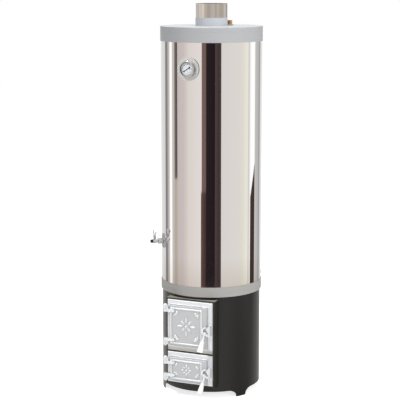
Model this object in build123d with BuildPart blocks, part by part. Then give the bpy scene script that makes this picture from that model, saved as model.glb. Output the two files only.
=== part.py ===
from build123d import *
import math
import os

# A wood-fired boiler: a water tank on a round firebox, with a flue through the tank.
# Origin on the floor, on the column's axis. +Z is up, and the doors face -Y. Millimetres.
os.makedirs("parts", exist_ok=True)

# Clearances
press_gap = 0.02  # around a pin that is driven into its hole
running_gap = 0.05  # around a shaft that turns in its hole
weld_gap = 0.1  # around a piece that is welded or sealed into another
sheet_gap = 0.2  # between rolled sheets that slide over each other
moving_gap = 0.3  # between pieces that move past each other

# Tank
tank_radius = 190.0
tank_wall = 1.2
tank_length = 977.0
end_skirt_wall = 1.5
bottom_plate = 3.0
bottom_skirt = 16.0
bottom_band_height = 21.0
cap_plate = 2.0
cap_skirt = 17.0
cap_edge_fillet = 1.4
top_band_height = 38.0
joint_chamfer = 0.5
seam_width = 10.0
seam_thickness = 0.7

# Flue
spigot_radius = 59.0
spigot_swell = 0.8
flue_wall = 2.0
collar_wall = 1.8
collar_height = 30.5
spigot_length = 52.5

# Firebox
firebox_step = 3.5  # the firebox is this much smaller in radius than the tank
firebox_wall = 4.0
floor_height = 50.0
floor_plate = 4.0
hearth_thickness = 4.0
hearth_drop = 2.0
foot_height = 26.0
foot_angle = 14.0
foot_count = 3
left_foot_angle = 56.0
right_foot_angle = 60.5
foot_corner = 22.0

# Grate
grate_seat_radius = 105.0
grate_overlap = 10.0
grate_thickness = 12.0
grate_rim = 13.0
grate_slot = 9.0
grate_bar = 8.0

# Portal that carries the doors
portal_reach = 11.5
portal_plate = 4.0
portal_side_margin = 6.5
portal_bottom_margin = 8.6
portal_top_margin = 5.7
portal_drop = 9.6
door_gap = 6.5

# Door frames
frame_thickness = 7.0
frame_chamfer = 1.8
border_left = 12.5
border_right = 18.5
ash_border_bottom = 7.4
ash_border_top = 20.0
fire_border_bottom = 20.5
fire_border_top = 19.3
overlap_left = 12.0
overlap_right = 16.0
overlap_height = 10.0
ridge_offset = 1.5
ridge_width = 4.0
ridge_height = 3.0
ridge_fillet = 1.3
collar_thickness = 3.0
collar_depth = 12.0
collar_gap = 0.5

# Door leaves
leaf_width = 150.0
fire_leaf_height = 154.0
ash_leaf_height = 89.5
leaf_thickness = 5.0
leaf_chamfer = 1.4
panel_left = 7.0
panel_right = 25.0
panel_top = 14.0
panel_bottom = 12.0
panel_recess = 1.0
bead_width = 5.5
bead_height = 3.0
bead_fillet = 1.4

# Relief on the leaves: petals of a rosette, and fans in the panel's corners
rosette_petals = 8
rosette_eye = 6.0
rosette_start = 6.0
rosette_eye_sink = 2.0
petal_width = 10.0
petal_sink = 1.8
fire_long_petal = 40.0
fire_short_petal = 25.0
ash_long_petal = 18.0
ash_short_petal = 14.0
fan_petals = 3
fan_step = 29.0
fan_inset = 8.5
fan_start = 4.5
fire_fan = 20.0
ash_fan = 12.0

# Hinges
hinge_overhang = 5.5
knuckle_radius = 7.0
arm_height = 11.0
arm_thickness = 6.0
arm_length = 38.0
arm_inset_top = 20.5
arm_inset_bottom = 21.0
hinge_play = 0.5
lug_radius = 8.0
lug_height = 11.0
lug_root = 6.0
pin_radius = 3.0
pin_end = 3.0

# Latches
latch_inset = 8.0
fire_latch_height = 58.0
ash_latch_height = 34.0
washer_radius = 7.0
washer_thickness = 1.0
hub_radius = 7.5
hub_length = 8.0
pivot_radius = 4.0
pivot_depth = 4.0
pivot_head_radius = 6.3
pivot_head = 3.0
nose_height = 7.0
nose_thickness = 5.5
nose_rest_angle = -20.0
nose_tip_gap = 1.5
horn_width = 5.0
horn_rise = 24.0
horn_lean = 5.0
horn_bow = 8.0
stem_radius = 3.2
handle_lean = 24.0
handle_swing = 6.0
grip_start = 27.0
grip_length = 43.0
grip_top_radius = 6.0
grip_end_radius = 11.5
grip_fillet = 4.0
grip_wall = 9.0

# Keepers
keeper_edge = 0.5
keeper_post = 4.5
keeper_foot = 11.0
keeper_foot_thickness = 2.5
claw_gap = 0.5
claw_thickness = 6.0
claw_reach = 14.5
claw_top = 34.0
claw_shoulder = 21.0
claw_mouth = 7.0
claw_tail = 6.0
tenon_radius = 3.0

# Frame bolts
bolt_radius = 3.0
bolt_hole_gap = 0.3
bolt_depth = 5.0
bolt_head_flats = 10.0
bolt_head = 4.0

# Thermometer
thermometer_angle = -3.5
thermometer_below_cap = 150.0
bush_radius = 14.0
bush_length = 12.0
half_inch_thread = 10.4
plate_radius = 43.5
plate_thickness = 1.5
plate_standoff = 0.5
fitting_length = 16.0
probe_radius = 4.5
probe_length = 64.0
case_radius = 28.4
case_wall = 1.0
case_depth = 11.0
dial_setback = 4.0
dial_thickness = 0.6
pointer_gap = 0.5
pointer_thickness = 0.8
pointer_length = 20.0
pointer_width = 2.2
pointer_tail = 10.5
counterweight_radius = 3.2
spindle_radius = 0.8
pointer_rest_angle = 212.0
glass_thickness = 2.0
glass_setback = 1.0
bezel_radius = 30.0
bezel_opening = 25.5
bezel_front = 2.0
bezel_skirt = 7.0

# Tap
tap_angle = -48.0
tap_above_tank_bottom = 174.0
patch_radius = 28.0
patch_thickness = 1.5
nipple_radius = 8.3
nipple_bore = 5.5
nipple_root = 10.0
nut_flats = 21.0
nut_start = 10.0
nut_length = 13.0
nut_lip = 3.0
body_radius = 6.4
body_length = 34.0
body_flange = 2.4
chamber_radius = 8.0
chamber_length = 15.0
stem_place = 36.0
tap_bore = 3.5
outlet_bore = 4.8
outlet_bore_depth = 5.0
ball_radius = 5.0
seat_thickness = 2.0
neck_radius = 4.8
neck_height = 12.0
tap_stem_radius = 2.5
tang_width = 2.0
tang_depth = 1.2
gland_flats = 10.5
gland_height = 2.6
handle_plate = 3.0
handle_hub_radius = 4.5
handle_hub_height = 6.0
wing_span = 21.0
wing_rise = 24.0
wing_width = 8.5
handle_tab = 8.0
handle_nut_flats = 7.0
handle_nut_height = 3.0

# Water outlet on the cap
outlet_angle = 150.0
outlet_distance = 85.0
socket_wall = 3.0
outlet_socket_rise = 4.0
outlet_socket_depth = 13.0
outlet_nipple_rise = 15.0
outlet_groove = 1.0
outlet_groove_depth = 0.8
outlet_nipple_bore = 7.0

# Water inlet and wall stud at the rear
inlet_angle = 135.0
inlet_above_tank_bottom = 26.0
inlet_bore = 9.3
inlet_passage = 9.0
inlet_thread = 11.0
inlet_radius = 13.0
inlet_reach = 14.0
inlet_root = 5.0
stud_angle = 140.0
stud_above_tank_bottom = 599.0
stud_radius = 4.0
stud_reach = 26.0
stud_foot_radius = 8.0
stud_foot = 3.0

# Heights that follow, from the floor up
ash_frame_bottom = floor_height + portal_bottom_margin
ash_frame_height = ash_border_bottom + ash_leaf_height + ash_border_top
fire_frame_bottom = ash_frame_bottom + ash_frame_height + door_gap
fire_frame_height = fire_border_bottom + fire_leaf_height + fire_border_top
portal_top = fire_frame_bottom + fire_frame_height + portal_top_margin
hearth_bottom = ash_frame_bottom + ash_frame_height - hearth_drop
grate_bottom = hearth_bottom + hearth_thickness
tank_bottom_height = portal_top + portal_drop + bottom_skirt
firebox_height = tank_bottom_height - bottom_plate
tank_top_height = tank_bottom_height + tank_length
cap_top = tank_top_height + cap_plate
collar_top = cap_top + collar_height
flue_top = collar_top + spigot_length

# Widths and depths that follow
firebox_radius = tank_radius - firebox_step
firebox_inner = firebox_radius - firebox_wall
skirt_inner = tank_radius + sheet_gap
skirt_outer = skirt_inner + end_skirt_wall
flue_radius = spigot_radius - spigot_swell
flue_hole = flue_radius + weld_gap
frame_width = border_left + leaf_width + border_right
frame_left = -frame_width / 2
frame_right = frame_width / 2
leaf_left = frame_left + border_left
leaf_right = frame_right - border_right
leaf_centre = (leaf_left + leaf_right) / 2
opening_left = leaf_left + overlap_left
opening_right = leaf_right - overlap_right
portal_width = frame_width + 2 * portal_side_margin
portal_inner_width = portal_width - 2 * portal_plate
portal_front = firebox_radius + portal_reach
frame_front = portal_front + frame_thickness
leaf_back = frame_front + moving_gap
leaf_front = leaf_back + leaf_thickness
panel_face = leaf_front - panel_recess
hinge_x = frame_left - hinge_overhang
hinge_forward = frame_front + knuckle_radius + moving_gap
latch_x = leaf_right - latch_inset
lever_back = leaf_front + washer_thickness + weld_gap
lever_front = lever_back + hub_length
nose_back = lever_front - nose_thickness
keeper_right = frame_right - keeper_edge
keeper_left = keeper_right - keeper_post
nose_length = keeper_left - nose_tip_gap - latch_x
claw_back = lever_front + claw_gap

front = Plane.XZ


def facing(angle, height=0.0):
    """Plane on the column's axis that faces outwards, at an angle from the doors."""
    turn = math.radians(angle)
    return Plane(
        origin=(0, 0, height),
        x_dir=(math.cos(turn), math.sin(turn), 0),
        z_dir=(math.sin(turn), -math.cos(turn), 0),
    )


def ring(outer, inner):
    """Flat ring in the sketch that is open."""
    Circle(outer)
    Circle(inner, mode=Mode.SUBTRACT)


def spaced(first, last, low, high):
    """Rectangle in the sketch that is open, from its edges."""
    with Locations(((first + last) / 2, (low + high) / 2)):
        Rectangle(last - first, high - low)


class Door:
    """One cast door: the heights of its frame, leaf, hinge arms and latch."""

    def __init__(self, name, frame_bottom, borders, leaf_height, latch_height, petals, fan):
        self.name = name
        self.frame_bottom = frame_bottom
        self.leaf_bottom = frame_bottom + borders[0]
        self.leaf_top = self.leaf_bottom + leaf_height
        self.frame_top = self.leaf_top + borders[1]
        self.opening_bottom = self.leaf_bottom + overlap_height
        self.opening_top = self.leaf_top - overlap_height
        self.panel_bottom = self.leaf_bottom + panel_bottom
        self.panel_top = self.leaf_top - panel_top
        self.upper_arm = self.leaf_top - arm_inset_top
        self.lower_arm = self.leaf_bottom + arm_inset_bottom
        self.latch = self.leaf_bottom + latch_height
        self.petals = petals
        self.fan = fan

    def opening(self, margin=0.0):
        """The hole that the door closes, made larger all round by a margin."""
        spaced(
            opening_left - margin,
            opening_right + margin,
            self.opening_bottom - margin,
            self.opening_top + margin,
        )


fire_door = Door(
    "fire",
    fire_frame_bottom,
    (fire_border_bottom, fire_border_top),
    fire_leaf_height,
    fire_latch_height,
    (fire_long_petal, fire_short_petal),
    fire_fan,
)
ash_door = Door(
    "ash",
    ash_frame_bottom,
    (ash_border_bottom, ash_border_top),
    ash_leaf_height,
    ash_latch_height,
    (ash_long_petal, ash_short_petal),
    ash_fan,
)
doors = (fire_door, ash_door)

# Firebox shell: rolled steel, with a mouth for the portal and feet left in its lower edge
foot_middles = (-left_foot_angle, right_foot_angle, 180.0)
with BuildPart() as firebox_shell:
    with BuildSketch():
        ring(firebox_radius, firebox_inner)
    extrude(amount=firebox_height)
    with BuildSketch(front):
        spaced(
            -portal_inner_width / 2,
            portal_inner_width / 2,
            floor_height + floor_plate,
            portal_top - portal_plate,
        )
    extrude(amount=portal_front, mode=Mode.SUBTRACT)
    for index in range(foot_count):
        start = foot_middles[index] + foot_angle / 2
        end = foot_middles[(index + 1) % foot_count] - foot_angle / 2
        span = (end - start) % 360
        half_width = firebox_radius * math.sin(math.radians(span / 2))
        with BuildSketch(facing(start + span / 2)):
            with Locations((0, -foot_height)):
                RectangleRounded(2 * half_width, 4 * foot_height, foot_corner)
        extrude(amount=firebox_radius, mode=Mode.SUBTRACT)
firebox_shell.part.label = "firebox_shell"
export_step(firebox_shell.part, "parts/firebox_shell.step")

# Floor of the ash chamber
with BuildPart() as firebox_floor:
    with BuildSketch(Plane.XY.offset(floor_height)):
        Circle(firebox_inner - weld_gap)
    extrude(amount=floor_plate)
firebox_floor.part.label = "firebox_floor"
export_step(firebox_floor.part, "parts/firebox_floor.step")

# Hearth plate: parts the ash chamber from the fire, and reaches into the portal
with BuildPart() as hearth_plate:
    with BuildSketch(Plane.XY.offset(hearth_bottom)):
        Circle(firebox_inner - weld_gap)
        with Locations((0, -portal_front / 2)):
            Rectangle(
                portal_inner_width - 2 * weld_gap,
                portal_front - 2 * portal_plate - 2 * weld_gap,
                mode=Mode.ADD,
            )
        Circle(grate_seat_radius, mode=Mode.SUBTRACT)
    extrude(amount=hearth_thickness)
hearth_plate.part.label = "hearth_plate"
export_step(hearth_plate.part, "parts/hearth_plate.step")

# Grate: cast iron, lying loose on the hearth plate
grate_radius = grate_seat_radius + grate_overlap
slot_field = grate_radius - grate_rim
slot_pitch = grate_slot + grate_bar
slot_pairs = int((slot_field - grate_slot) // slot_pitch)
with BuildPart() as grate:
    with BuildSketch(Plane.XY.offset(grate_bottom)):
        Circle(grate_radius)
        for step in range(-slot_pairs, slot_pairs + 1):
            edge = abs(step) * slot_pitch + grate_slot / 2
            chord = 2 * math.sqrt(slot_field**2 - edge**2)
            with Locations((step * slot_pitch, 0)):
                SlotOverall(chord, grate_slot, rotation=90, mode=Mode.SUBTRACT)
    extrude(amount=grate_thickness)
grate.part.label = "grate"
export_step(grate.part, "parts/grate.step")

# Portal: a box of four welded plates that stands out of the shell, behind a face plate
cheek_middle = (portal_width - portal_plate) / 2
with BuildPart() as portal_cheeks:
    for side in (-1, 1):
        with BuildSketch(front):
            with Locations((side * cheek_middle, (floor_height + portal_top) / 2)):
                Rectangle(portal_plate, portal_top - floor_height)
        extrude(amount=portal_front - portal_plate - weld_gap)
    with BuildSketch():
        Circle(firebox_radius)
    extrude(amount=firebox_height, mode=Mode.SUBTRACT)
portal_cheeks.part.label = "portal_cheeks"
export_step(portal_cheeks.part, "parts/portal_cheeks.step")


def portal_shelf(name, bottom, thickness):
    """Level plate between the cheeks, from the shell to the face plate."""
    with BuildPart() as shelf:
        with BuildSketch(Plane.XY.offset(bottom)):
            with Locations((0, -portal_front / 2)):
                Rectangle(
                    portal_inner_width - 2 * weld_gap,
                    portal_front - 2 * portal_plate - 2 * weld_gap,
                )
            Circle(firebox_radius, mode=Mode.SUBTRACT)
        extrude(amount=thickness)
    shelf.part.label = name
    export_step(shelf.part, f"parts/{name}.step")


portal_shelf("portal_roof", portal_top - portal_plate, portal_plate)
portal_shelf("portal_sill", floor_height, floor_plate)

with BuildPart() as door_portal:
    with BuildSketch(front.offset(portal_front - portal_plate)):
        spaced(-portal_width / 2, portal_width / 2, floor_height, portal_top)
    extrude(amount=portal_plate)
    with BuildSketch(front):
        for door in doors:
            door.opening(collar_thickness + collar_gap)
    extrude(amount=portal_front, mode=Mode.SUBTRACT)
    with BuildSketch(front):
        for door in doors:
            for across in ((frame_left + opening_left) / 2, (frame_right + opening_right) / 2):
                for height in (
                    (door.frame_bottom + door.opening_bottom) / 2,
                    (door.frame_top + door.opening_top) / 2,
                ):
                    with Locations((across, height)):
                        Circle(bolt_radius + bolt_hole_gap)
    extrude(amount=portal_front, mode=Mode.SUBTRACT)
door_portal.part.label = "door_portal"
export_step(door_portal.part, "parts/door_portal.step")

# Bolts that hold the door frames, put in from inside the portal
with BuildPart() as frame_bolts:
    for door in doors:
        for across in ((frame_left + opening_left) / 2, (frame_right + opening_right) / 2):
            for height in (
                (door.frame_bottom + door.opening_bottom) / 2,
                (door.frame_top + door.opening_top) / 2,
            ):
                with BuildSketch(front.offset(portal_front - portal_plate)):
                    with Locations((across, height)):
                        Circle(bolt_radius)
                extrude(amount=portal_plate + bolt_depth - moving_gap)
                with BuildSketch(front.offset(portal_front - portal_plate)):
                    with Locations((across, height)):
                        RegularPolygon(bolt_head_flats / 2, 6, major_radius=False)
                extrude(amount=-bolt_head)
frame_bolts.part.label = "frame_bolts"
export_step(frame_bolts.part, "parts/frame_bolts.step")

for door in doors:
    arms = (door.upper_arm, door.lower_arm)
    # Each lug stands clear of its arm, on the arm's far side from the leaf's middle
    lug_near = (
        door.upper_arm + arm_height / 2 + hinge_play,
        door.lower_arm - arm_height / 2 - hinge_play,
    )
    lug_way = (1, -1)

    # Cast frame, with a ridge round the leaf, a collar in the portal and two hinge lugs
    with BuildPart() as door_frame:
        with BuildSketch(front.offset(portal_front)):
            spaced(frame_left, frame_right, door.frame_bottom, door.frame_top)
        extrude(amount=frame_thickness)
        chamfer(door_frame.faces().sort_by(Axis.Y)[0].edges(), frame_chamfer)
        with BuildSketch(front.offset(portal_front)):
            door.opening(collar_thickness)
        extrude(amount=-collar_depth)
        with BuildSketch(front.offset(frame_front)):
            ridge_inner = ridge_offset
            ridge_outer = ridge_offset + ridge_width
            for margin, mode in ((ridge_outer, Mode.ADD), (ridge_inner, Mode.SUBTRACT)):
                with Locations((leaf_centre, (door.leaf_bottom + door.leaf_top) / 2)):
                    Rectangle(
                        leaf_width + 2 * margin,
                        door.leaf_top - door.leaf_bottom + 2 * margin,
                        mode=mode,
                    )
        extrude(amount=ridge_height)
        fillet(door_frame.faces().sort_by(Axis.Y)[0].edges(), ridge_fillet)
        for near, way in zip(lug_near, lug_way):
            with BuildSketch(Plane.XY.offset(near)):
                with Locations((hinge_x, -hinge_forward)):
                    Circle(lug_radius)
                root_length = frame_left + lug_root - hinge_x
                root_depth = hinge_forward - frame_front + lug_radius
                with Locations(
                    (hinge_x + root_length / 2, -frame_front - root_depth / 2 + lug_radius / 2)
                ):
                    Rectangle(root_length, root_depth)
            extrude(amount=way * lug_height)
            with Locations((hinge_x, -hinge_forward, near + way * lug_height)):
                Sphere(lug_radius)
            with BuildSketch(Plane.XY.offset(near)):
                with Locations((hinge_x, -hinge_forward)):
                    Circle(pin_radius + press_gap)
            extrude(amount=way * (lug_height + pin_end), mode=Mode.SUBTRACT)
        with BuildSketch(front):
            door.opening()
        extrude(amount=hinge_forward, mode=Mode.SUBTRACT)
        with BuildSketch(front.offset(portal_front)):
            for across in ((frame_left + opening_left) / 2, (frame_right + opening_right) / 2):
                for height in (
                    (door.frame_bottom + door.opening_bottom) / 2,
                    (door.frame_top + door.opening_top) / 2,
                ):
                    with Locations((across, height)):
                        Circle(bolt_radius + press_gap)
        extrude(amount=bolt_depth, mode=Mode.SUBTRACT)
        with BuildSketch(front.offset(portal_front)):
            with Locations((keeper_right - keeper_foot / 2, door.latch + claw_shoulder)):
                Circle(tenon_radius + press_gap)
        extrude(amount=frame_thickness, mode=Mode.SUBTRACT)
    door_frame.part.label = f"{door.name}_door_frame"
    export_step(door_frame.part, f"parts/{door.name}_door_frame.step")

    # Cast leaf, with a bead round a sunk panel, a relief on it and two hinge arms
    panel_x = (leaf_left + panel_left, leaf_right - panel_right)
    panel_z = (door.panel_bottom, door.panel_top)
    middle = ((panel_x[0] + panel_x[1]) / 2, (panel_z[0] + panel_z[1]) / 2)
    petals = []
    for index in range(rosette_petals):
        length = door.petals[index % 2]
        petals.append((middle, 360 / rosette_petals * index, rosette_start, length))
    for side, level, inwards in ((0, 0, 45), (1, 0, 135), (1, 1, 225), (0, 1, 315)):
        corner = (
            panel_x[side] + (fan_inset if side == 0 else -fan_inset),
            panel_z[level] + (fan_inset if level == 0 else -fan_inset),
        )
        for index in range(fan_petals):
            turn = inwards + (index - (fan_petals - 1) / 2) * fan_step
            petals.append((corner, turn, fan_start, door.fan))
    with BuildPart() as door_leaf:
        with BuildSketch(front.offset(leaf_back)):
            spaced(leaf_left, leaf_right, door.leaf_bottom, door.leaf_top)
        extrude(amount=leaf_thickness)
        chamfer(door_leaf.faces().sort_by(Axis.Y)[0].edges(), leaf_chamfer)
        with BuildSketch(front.offset(leaf_front)):
            with Locations(middle):
                Rectangle(
                    panel_x[1] - panel_x[0] + 2 * bead_width,
                    panel_z[1] - panel_z[0] + 2 * bead_width,
                )
                Rectangle(
                    panel_x[1] - panel_x[0],
                    panel_z[1] - panel_z[0],
                    mode=Mode.SUBTRACT,
                )
        extrude(amount=bead_height)
        fillet(door_leaf.faces().sort_by(Axis.Y)[0].edges(), bead_fillet)
        with BuildSketch(front.offset(panel_face)):
            spaced(panel_x[0], panel_x[1], panel_z[0], panel_z[1])
        extrude(amount=panel_recess, mode=Mode.SUBTRACT)
        for root, angle, start, length in petals:
            turn = math.radians(angle)
            lay = Plane(
                origin=(root[0], petal_sink - panel_face, root[1]),
                x_dir=(math.cos(turn), 0, math.sin(turn)),
                z_dir=(0, -1, 0),
            )
            with BuildSketch(lay):
                with BuildLine():
                    ThreePointArc(
                        (start, 0), (start + length / 2, petal_width / 2), (start + length, 0)
                    )
                    Line((start + length, 0), (start, 0))
                make_face()
            revolve(axis=Axis(lay.origin, lay.x_dir))
        with Locations((middle[0], rosette_eye_sink - panel_face, middle[1])):
            Sphere(rosette_eye)
        with BuildSketch(front.offset(leaf_back)):
            spaced(panel_x[0], panel_x[1], panel_z[0], panel_z[1])
        extrude(amount=-petal_width, mode=Mode.SUBTRACT)
        for arm in arms:
            with BuildSketch(front.offset(leaf_front)):
                with Locations((hinge_x + arm_length / 2 - arm_height / 4, arm)):
                    SlotOverall(arm_length + arm_height / 2, arm_height)
            extrude(amount=arm_thickness)
            with BuildSketch(Plane.XY.offset(arm - arm_height / 2)):
                with Locations((hinge_x, -hinge_forward)):
                    Circle(knuckle_radius)
            extrude(amount=arm_height)
            with BuildSketch(Plane.XY.offset(arm - arm_height / 2)):
                with Locations((hinge_x, -hinge_forward)):
                    Circle(pin_radius + running_gap)
            extrude(amount=arm_height, mode=Mode.SUBTRACT)
        with BuildSketch(front.offset(leaf_front)):
            with Locations((latch_x, door.latch)):
                Circle(pivot_radius + press_gap)
        extrude(amount=-pivot_depth, mode=Mode.SUBTRACT)
    door_leaf.part.label = f"{door.name}_door_leaf"
    export_step(door_leaf.part, f"parts/{door.name}_door_leaf.step")

    # Two hinge pins, driven into the frame's lugs, on which the leaf's arms turn
    with BuildPart() as hinge_pins:
        for near, way in zip(lug_near, lug_way):
            with BuildSketch(Plane.XY.offset(near - way * (hinge_play + arm_height))):
                with Locations((hinge_x, -hinge_forward)):
                    Circle(pin_radius)
            extrude(amount=way * (arm_height + hinge_play + lug_height + pin_end / 2))
    hinge_pins.part.label = f"{door.name}_hinge_pins"
    export_step(hinge_pins.part, f"parts/{door.name}_hinge_pins.step")

    # Latch lever: hub, nose that draws behind the keeper, horn for the thumb, and stem
    lean = math.radians(handle_lean)
    swing = math.radians(handle_swing)
    handle = Plane(
        origin=(latch_x, -(lever_back + hub_length / 2), door.latch),
        z_dir=(
            -math.cos(lean) * math.sin(swing),
            -math.sin(lean),
            -math.cos(lean) * math.cos(swing),
        ),
    )
    nose_turn = math.radians(nose_rest_angle)
    nose_reach = nose_length - nose_height / 2
    nose_tip = (
        latch_x + nose_reach * math.cos(nose_turn),
        door.latch + nose_reach * math.sin(nose_turn),
    )
    nose_middle = ((latch_x + nose_tip[0]) / 2, (door.latch + nose_tip[1]) / 2)
    horn_line = ThreePointArc(
        (latch_x, door.latch),
        (latch_x - horn_bow, door.latch + horn_rise / 2),
        (latch_x + horn_lean, door.latch + horn_rise),
    )
    with BuildPart() as latch_lever:
        with BuildSketch(front.offset(lever_back)):
            with Locations((latch_x, door.latch)):
                Circle(hub_radius)
        extrude(amount=hub_length)
        with BuildSketch(front.offset(nose_back)):
            SlotCenterPoint(nose_middle, nose_tip, nose_height)
            SlotArc(horn_line, horn_width)
        extrude(amount=nose_thickness)
        with BuildSketch(handle):
            Circle(stem_radius)
        extrude(amount=grip_start + grip_length - grip_wall - moving_gap)
        with BuildSketch(front.offset(lever_back)):
            with Locations((latch_x, door.latch)):
                Circle(pivot_radius + running_gap)
        extrude(amount=hub_length, mode=Mode.SUBTRACT)
        with BuildSketch(front.offset(lever_front)):
            with Locations((latch_x, door.latch)):
                Circle(pivot_head_radius + running_gap)
        extrude(amount=hub_length, mode=Mode.SUBTRACT)
    latch_lever.part.label = f"{door.name}_latch_lever"
    export_step(latch_lever.part, f"parts/{door.name}_latch_lever.step")

    # Cone grip, pushed on to the lever's stem
    with BuildPart() as latch_grip:
        with BuildSketch(handle.offset(grip_start)):
            Circle(grip_top_radius)
        with BuildSketch(handle.offset(grip_start + grip_length)):
            Circle(grip_end_radius)
        loft()
        rim = latch_grip.edges().filter_by(GeomType.CIRCLE).sort_by(SortBy.RADIUS)[-1]
        fillet(rim, grip_fillet)
        with BuildSketch(handle.offset(grip_start)):
            Circle(stem_radius + press_gap)
        extrude(amount=grip_length - grip_wall, mode=Mode.SUBTRACT)
    latch_grip.part.label = f"{door.name}_latch_grip"
    export_step(latch_grip.part, f"parts/{door.name}_latch_grip.step")

    # Washer between the leaf and the lever
    with BuildPart() as latch_washer:
        with BuildSketch(front.offset(leaf_front)):
            with Locations((latch_x, door.latch)):
                ring(washer_radius, pivot_radius + running_gap)
        extrude(amount=washer_thickness)
    latch_washer.part.label = f"{door.name}_latch_washer"
    export_step(latch_washer.part, f"parts/{door.name}_latch_washer.step")

    # Shoulder pin that the lever turns on, driven into the leaf
    with BuildPart() as latch_pivot:
        with BuildSketch(front.offset(leaf_front - pivot_depth)):
            with Locations((latch_x, door.latch)):
                Circle(pivot_radius)
        extrude(amount=pivot_depth + lever_front + weld_gap - leaf_front)
        with BuildSketch(front.offset(lever_front + weld_gap)):
            with Locations((latch_x, door.latch)):
                Circle(pivot_head_radius)
        extrude(amount=pivot_head)
        fillet(latch_pivot.faces().sort_by(Axis.Y)[0].edges(), pivot_head / 2)
    latch_pivot.part.label = f"{door.name}_latch_pivot"
    export_step(latch_pivot.part, f"parts/{door.name}_latch_pivot.step")

    # Keeper: foot on the frame, post and claw, with a tenon through the frame
    with BuildPart() as latch_keeper:
        with BuildSketch(front.offset(frame_front)):
            spaced(
                keeper_right - keeper_foot,
                keeper_right,
                door.latch - claw_tail,
                door.latch + claw_top,
            )
        extrude(amount=keeper_foot_thickness)
        with BuildSketch(front.offset(frame_front)):
            spaced(keeper_left, keeper_right, door.latch - claw_tail, door.latch + claw_top)
        extrude(amount=claw_back + claw_thickness - frame_front)
        with BuildSketch(front.offset(claw_back)):
            with BuildLine():
                crown = (keeper_right, door.latch + claw_top)
                shoulder = (keeper_right - claw_reach, door.latch + claw_shoulder)
                lip = (keeper_left - claw_reach / 4, door.latch + claw_mouth)
                tail = (keeper_right, door.latch - claw_tail)
                ThreePointArc(
                    crown,
                    (keeper_right - claw_reach * 0.7, door.latch + claw_top * 0.85),
                    shoulder,
                )
                ThreePointArc(
                    shoulder,
                    (
                        (shoulder[0] + lip[0]) / 2 - keeper_edge,
                        (shoulder[1] + lip[1]) / 2,
                    ),
                    lip,
                )
                Line(lip, tail)
                Line(tail, crown)
            make_face()
        extrude(amount=claw_thickness)
        with BuildSketch(front.offset(portal_front)):
            with Locations((keeper_right - keeper_foot / 2, door.latch + claw_shoulder)):
                Circle(tenon_radius)
        extrude(amount=frame_thickness)
    latch_keeper.part.label = f"{door.name}_latch_keeper"
    export_step(latch_keeper.part, f"parts/{door.name}_latch_keeper.step")

# Planes of the fittings in the tank's wall
thermometer = facing(thermometer_angle, cap_top - thermometer_below_cap)
tap = facing(tap_angle, tank_bottom_height + tap_above_tank_bottom)
inlet = facing(inlet_angle, tank_bottom_height + inlet_above_tank_bottom)
stud = facing(stud_angle, tank_bottom_height + stud_above_tank_bottom)

# Tank shell: polished sheet with a lapped seam at the rear and holes for its fittings
with BuildPart() as tank_shell:
    with BuildSketch(Plane.XY.offset(tank_bottom_height)):
        ring(tank_radius, tank_radius - tank_wall)
    extrude(amount=tank_length)
    seam_bottom = tank_bottom_height + bottom_band_height + moving_gap
    seam_top = cap_top - cap_skirt - top_band_height - moving_gap
    with BuildSketch(facing(180, seam_bottom).offset(tank_radius - tank_wall / 2)):
        with Locations((0, (seam_top - seam_bottom) / 2)):
            Rectangle(seam_width, seam_top - seam_bottom)
    extrude(amount=tank_wall / 2 + seam_thickness)
    for wall_plane, hole in (
        (thermometer, bush_radius),
        (tap, nipple_radius),
        (inlet, inlet_radius),
    ):
        with BuildSketch(wall_plane):
            Circle(hole + weld_gap)
        extrude(amount=tank_radius + patch_thickness, mode=Mode.SUBTRACT)
tank_shell.part.label = "tank_shell"
export_step(tank_shell.part, "parts/tank_shell.step")

# Tank bottom: pressed plate that lies on the firebox, with a skirt outside it
with BuildPart() as tank_bottom:
    with BuildSketch(Plane.XY.offset(tank_bottom_height - bottom_skirt)):
        Circle(skirt_outer)
    extrude(amount=bottom_skirt)
    chamfer(tank_bottom.faces().sort_by(Axis.Z)[-1].edges(), joint_chamfer)
    with BuildSketch(Plane.XY.offset(tank_bottom_height - bottom_skirt)):
        Circle(skirt_inner)
    extrude(amount=bottom_skirt - bottom_plate, mode=Mode.SUBTRACT)
    with BuildSketch(Plane.XY.offset(tank_bottom_height - bottom_skirt)):
        Circle(flue_hole)
    extrude(amount=bottom_skirt, mode=Mode.SUBTRACT)
tank_bottom.part.label = "tank_bottom"
export_step(tank_bottom.part, "parts/tank_bottom.step")

# Lower band round the shell, notched over the water inlet
with BuildPart() as bottom_band:
    with BuildSketch(Plane.XY.offset(tank_bottom_height)):
        ring(skirt_outer, skirt_inner)
    extrude(amount=bottom_band_height)
    low_rim = bottom_band.edges().filter_by(GeomType.CIRCLE).group_by(Axis.Z)[0]
    chamfer(low_rim.sort_by(SortBy.RADIUS)[-1], joint_chamfer)
    with BuildSketch(inlet):
        Circle(inlet_radius + sheet_gap)
        with Locations((0, bottom_band_height)):
            Rectangle(2 * inlet_radius + 2 * sheet_gap, 2 * bottom_band_height)
    extrude(amount=skirt_outer + sheet_gap, mode=Mode.SUBTRACT)
bottom_band.part.label = "bottom_band"
export_step(bottom_band.part, "parts/bottom_band.step")

# Upper band round the shell, under the cap
with BuildPart() as top_band:
    with BuildSketch(Plane.XY.offset(cap_top - cap_skirt - top_band_height)):
        ring(skirt_outer, skirt_inner)
    extrude(amount=top_band_height)
    high_rim = top_band.edges().filter_by(GeomType.CIRCLE).group_by(Axis.Z)[-1]
    chamfer(high_rim.sort_by(SortBy.RADIUS)[-1], joint_chamfer)
top_band.part.label = "top_band"
export_step(top_band.part, "parts/top_band.step")

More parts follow.
